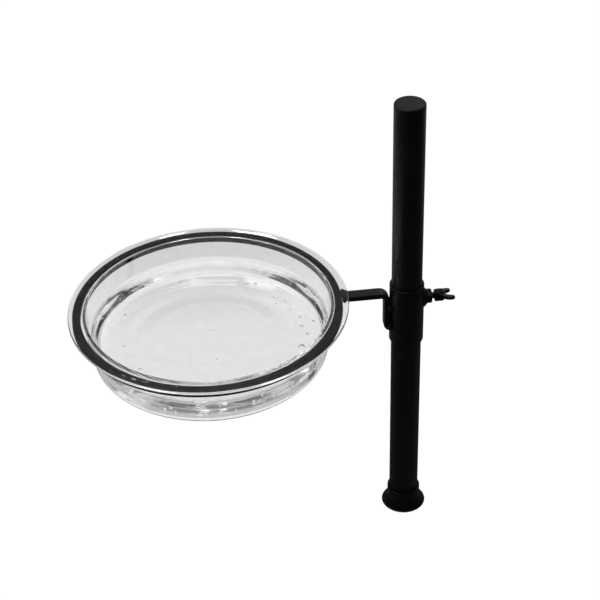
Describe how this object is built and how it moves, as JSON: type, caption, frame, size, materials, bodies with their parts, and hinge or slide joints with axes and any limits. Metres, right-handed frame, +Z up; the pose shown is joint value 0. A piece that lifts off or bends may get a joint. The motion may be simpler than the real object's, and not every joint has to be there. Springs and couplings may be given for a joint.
{
  "type": "bird feeder on pole",
  "caption": "Round clear dish resting in a flat steel hoop, held out on a bent arm from a collar that slides on a round pole and is locked by a wing bolt, with a pronged ground socket.",
  "frame": {"origin": "on the pole's axis at the soil line", "axes": "+Z up along the pole; the arm and the dish stand out along -X and the wing bolt points along +X"},
  "size_m": [0.278, 0.1994, 0.5094],
  "materials": {
    "black_powder_coat": "satin black powder coat on steel",
    "black_plastic": "moulded black plastic",
    "clear_plastic": "clear moulded plastic"
  },
  "bodies": {
    "ground_socket": {"socket_sleeve": "black_powder_coat", "prong_1": "black_powder_coat", "prong_2": "black_powder_coat", "prong_3": "black_powder_coat", "prong_4": "black_powder_coat", "ground_spike": "black_powder_coat"},
    "pole": {"pole_tube": "black_powder_coat", "pole_foot_plug": "black_plastic"},
    "end_cap": {"pole_end_cap": "black_plastic"},
    "carrier": {"collar_sleeve": "black_powder_coat", "weld_nut": "black_powder_coat", "nut_weld": "black_powder_coat", "arm_bar": "black_powder_coat", "arm_weld_far": "black_powder_coat", "arm_weld_near": "black_powder_coat", "tab_weld_near_upper": "black_powder_coat", "tab_weld_near_lower": "black_powder_coat", "tab_weld_far_upper": "black_powder_coat", "tab_weld_far_lower": "black_powder_coat", "hoop_ring": "black_powder_coat"},
    "dish": {"dish": "clear_plastic"},
    "bolt": {"bolt_shank": "black_powder_coat"},
    "wings": {"wing_head": "black_powder_coat"}
  },
  "joints": [
    {"name": "pole_turn", "type": "hinge", "parent": "ground_socket", "child": "pole", "pos_m": [0, 0, 0], "axis": [0, 0, 1], "continuous": true},
    {"name": "cap_pull", "type": "slide", "parent": "pole", "child": "end_cap", "axis": [0, 0, 1], "range_m": [0, 0.022]},
    {"name": "carrier_slide", "type": "slide", "parent": "pole", "child": "carrier", "axis": [0, 0, 1], "range_m": [-0.14, 0.14]},
    {"name": "dish_lift", "type": "slide", "parent": "carrier", "child": "dish", "axis": [0, 0, 1], "range_m": [0, 0.08]},
    {"name": "bolt_advance", "type": "slide", "parent": "carrier", "child": "bolt", "axis": [1, 0, 0], "range_m": [0, 0.0031]},
    {"name": "bolt_turn", "type": "hinge", "parent": "bolt", "child": "wings", "pos_m": [0.02, 0, 0.1958], "axis": [1, 0, 0], "range_deg": [0, 1080]}
  ],
  "couplings": [
    {"joint": "bolt_advance", "follows": "bolt_turn", "m_per_rad": 0.00015915}
  ]
}
